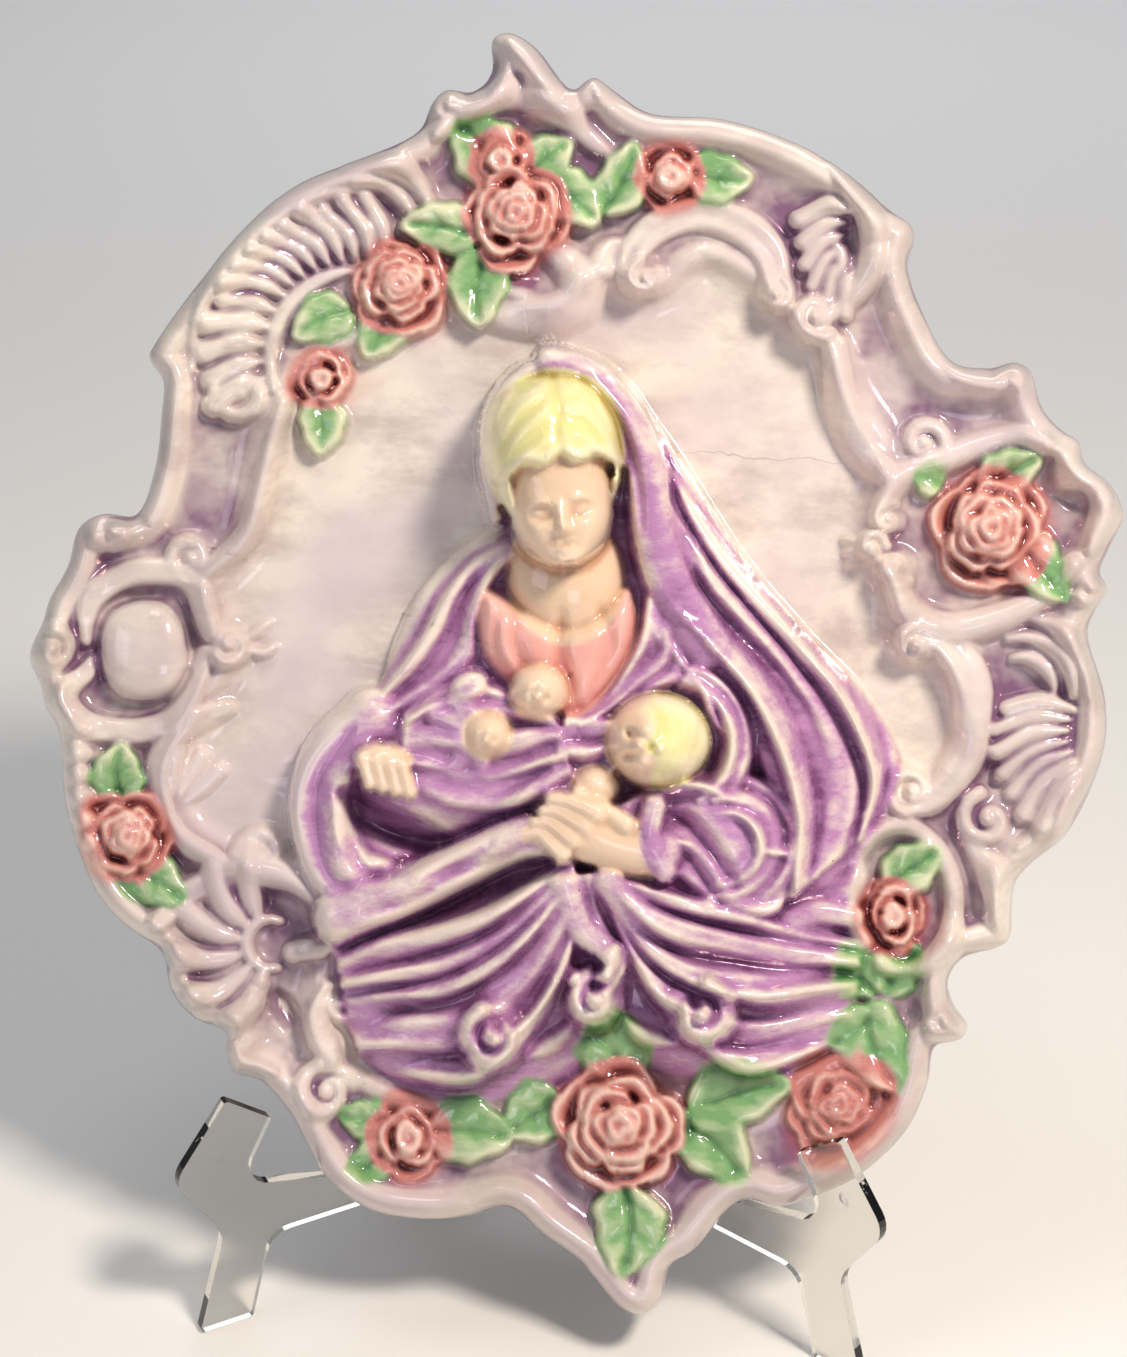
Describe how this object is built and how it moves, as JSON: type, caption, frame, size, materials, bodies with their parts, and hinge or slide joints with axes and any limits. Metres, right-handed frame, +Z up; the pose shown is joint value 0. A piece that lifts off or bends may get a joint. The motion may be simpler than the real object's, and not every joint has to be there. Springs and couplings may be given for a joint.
{
  "type": "decorative wall plaque",
  "caption": "Glazed ceramic relief plaque, a rococo cartouche with roses round a mother and babies, leaning in a clear interlocking plate stand.",
  "frame": {"origin": "middle of the bounding box, on the surface that the stand's feet rest on", "axes": "+Z up, -Y towards the plaque's front, +X to the right seen from the front"},
  "size_m": [0.388, 0.2077, 0.4291],
  "materials": {
    "lustre_glazed_ceramic": "glossy pearl lustre glaze with a purple wash and painted flowers",
    "clear_acrylic": "clear, polished"
  },
  "bodies": {
    "root": {"plaque": "lustre_glazed_ceramic", "stand_plate_left": "clear_acrylic", "stand_plate_right": "clear_acrylic"}
  },
  "joints": []
}
